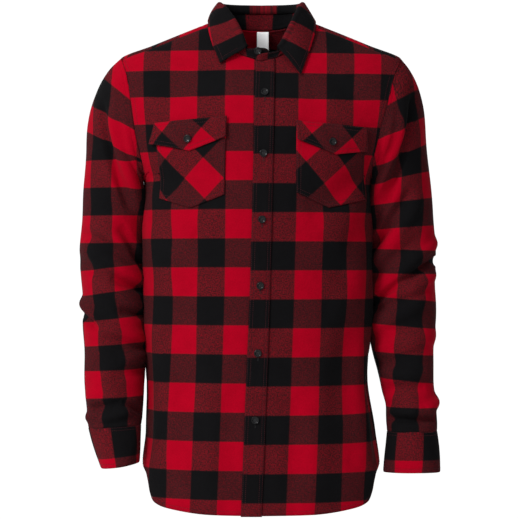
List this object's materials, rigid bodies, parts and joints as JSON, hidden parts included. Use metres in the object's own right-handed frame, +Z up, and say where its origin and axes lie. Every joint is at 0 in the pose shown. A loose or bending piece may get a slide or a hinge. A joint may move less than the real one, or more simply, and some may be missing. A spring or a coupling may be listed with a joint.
{
  "type": "flannel shirt",
  "caption": "Long-sleeved button-front flannel shirt in a red and black buffalo check, filled out and hollow, with a pointed collar, flap pockets, cuffs and curved shirt tails",
  "frame": {"origin": "the middle of the neck, level with the inner ends of the shoulders, where a wearer carries the shirt", "axes": "+Z up the wearer's back; the front of the shirt faces -Y; +X is to the wearer's left"},
  "size_m": [0.5688, 0.253, 0.8082],
  "materials": {
    "fabric": "matte",
    "buttons": "gloss",
    "label": "satin"
  },
  "bodies": {
    "root": {"front_right": "fabric", "front_left": "fabric", "placket": "fabric", "back": "fabric", "yoke": "fabric", "collar_stand": "fabric", "collar": "fabric", "sleeve_right": "fabric", "sleeve_left": "fabric", "sleeve_placket_right": "fabric", "sleeve_placket_left": "fabric", "cuff_right": "fabric", "cuff_left": "fabric", "pocket_right": "fabric", "pocket_left": "fabric", "pocket_flap_right": "fabric", "pocket_flap_left": "fabric", "button_collar": "buttons", "button_front_1": "buttons", "button_front_2": "buttons", "button_front_3": "buttons", "button_front_4": "buttons", "button_front_5": "buttons", "button_front_6": "buttons", "button_pocket_right": "buttons", "button_pocket_left": "buttons", "button_cuff_right": "buttons", "button_cuff_left": "buttons", "neck_label": "label"}
  },
  "joints": []
}
